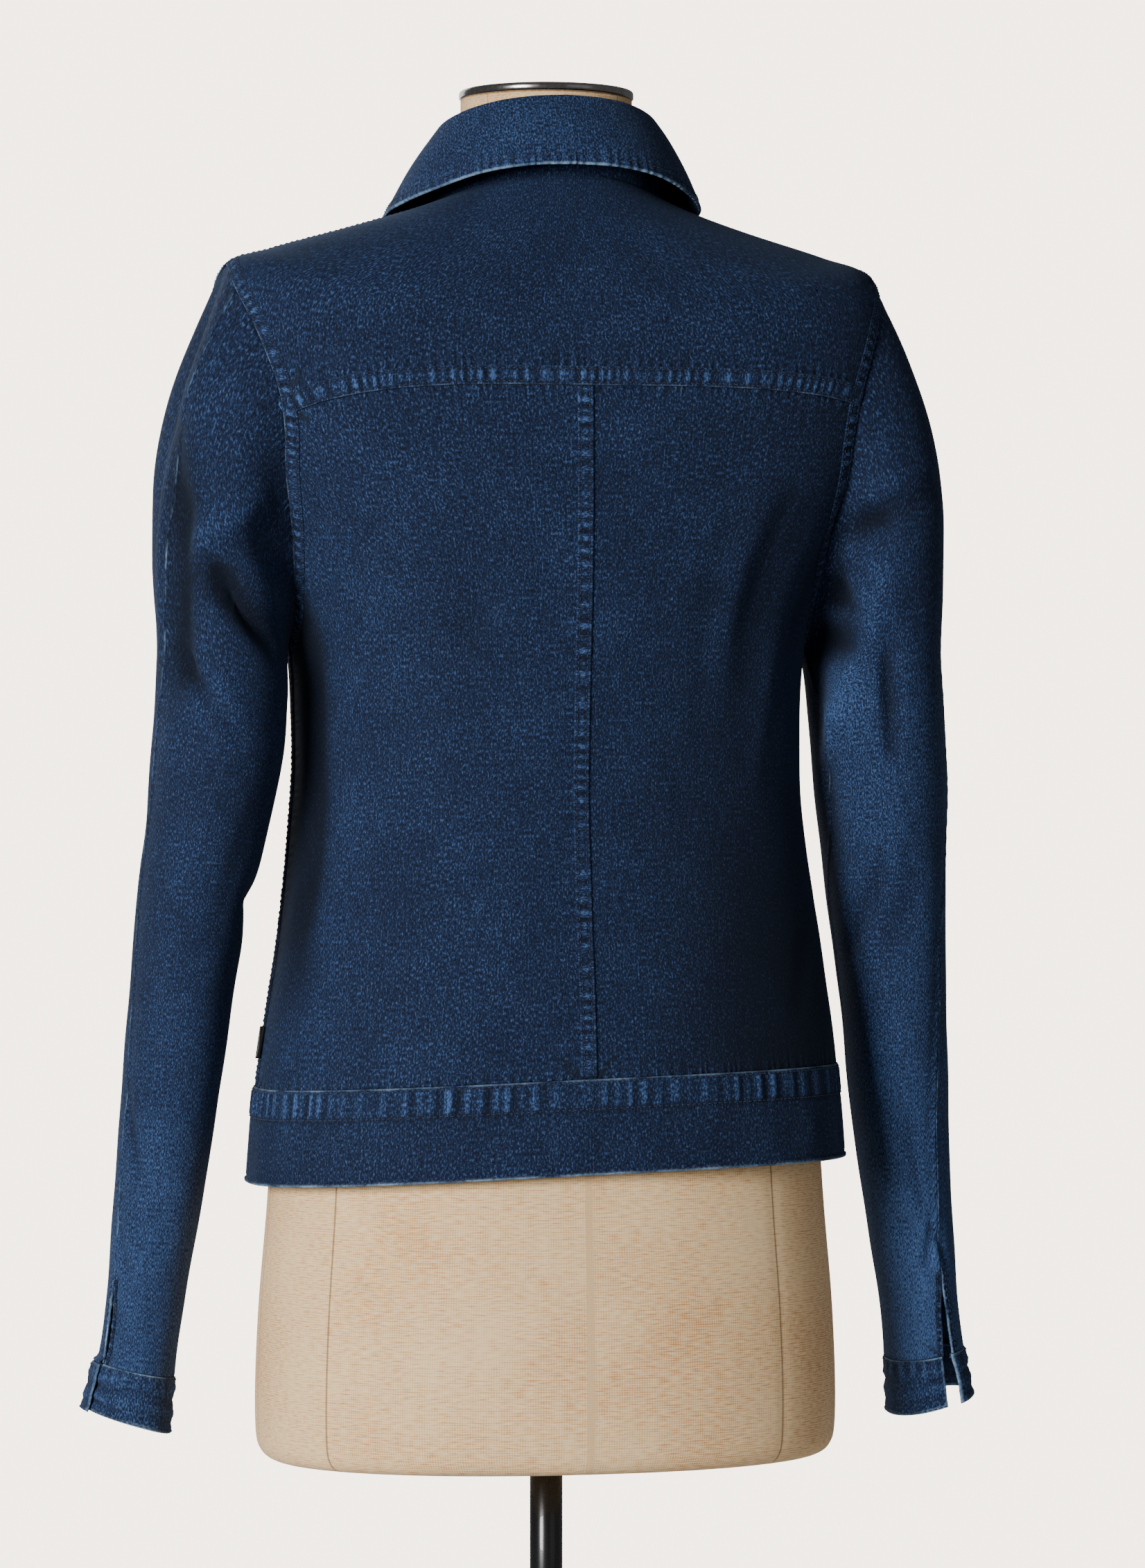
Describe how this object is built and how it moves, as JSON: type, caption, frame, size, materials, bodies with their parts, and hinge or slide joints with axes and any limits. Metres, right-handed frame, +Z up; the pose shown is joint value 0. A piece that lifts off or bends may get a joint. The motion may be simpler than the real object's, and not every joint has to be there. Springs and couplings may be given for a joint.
{
  "type": "denim jacket on a dress form",
  "caption": "Short fitted denim jacket with a turned-down collar, back yoke and waistband, worn by a limbless dress form on a pole with a round base plate.",
  "frame": {"origin": "on the floor, at the centre of the base plate's underside", "axes": "+Z up, -Y the front of the jacket, +X the wearer's left"},
  "size_m": [0.5284, 0.3, 1.1169],
  "materials": {
    "denim": "matte",
    "tab": "satin",
    "button": "satin",
    "linen": "matte",
    "cap": "polished",
    "stand": "gloss"
  },
  "bodies": {
    "root": {"back_left": "denim", "back_right": "denim", "back_yoke": "denim", "front_left": "denim", "front_right": "denim", "front_band_under": "denim", "front_band_over": "denim", "waistband_back": "denim", "waistband_front_left": "denim", "waistband_front_right": "denim", "sleeve_under_left": "denim", "sleeve_upper_left": "denim", "sleeve_under_right": "denim", "sleeve_upper_right": "denim", "cuff_left": "denim", "cuff_right": "denim", "collar_leaf": "denim", "collar_stand": "denim", "side_tab": "tab", "front_button_1": "button", "front_button_2": "button", "front_button_3": "button", "front_button_4": "button", "front_button_5": "button", "front_button_6": "button", "form_torso": "linen", "form_neck_cap": "cap", "stand_pole": "stand", "stand_base": "stand"}
  },
  "joints": []
}
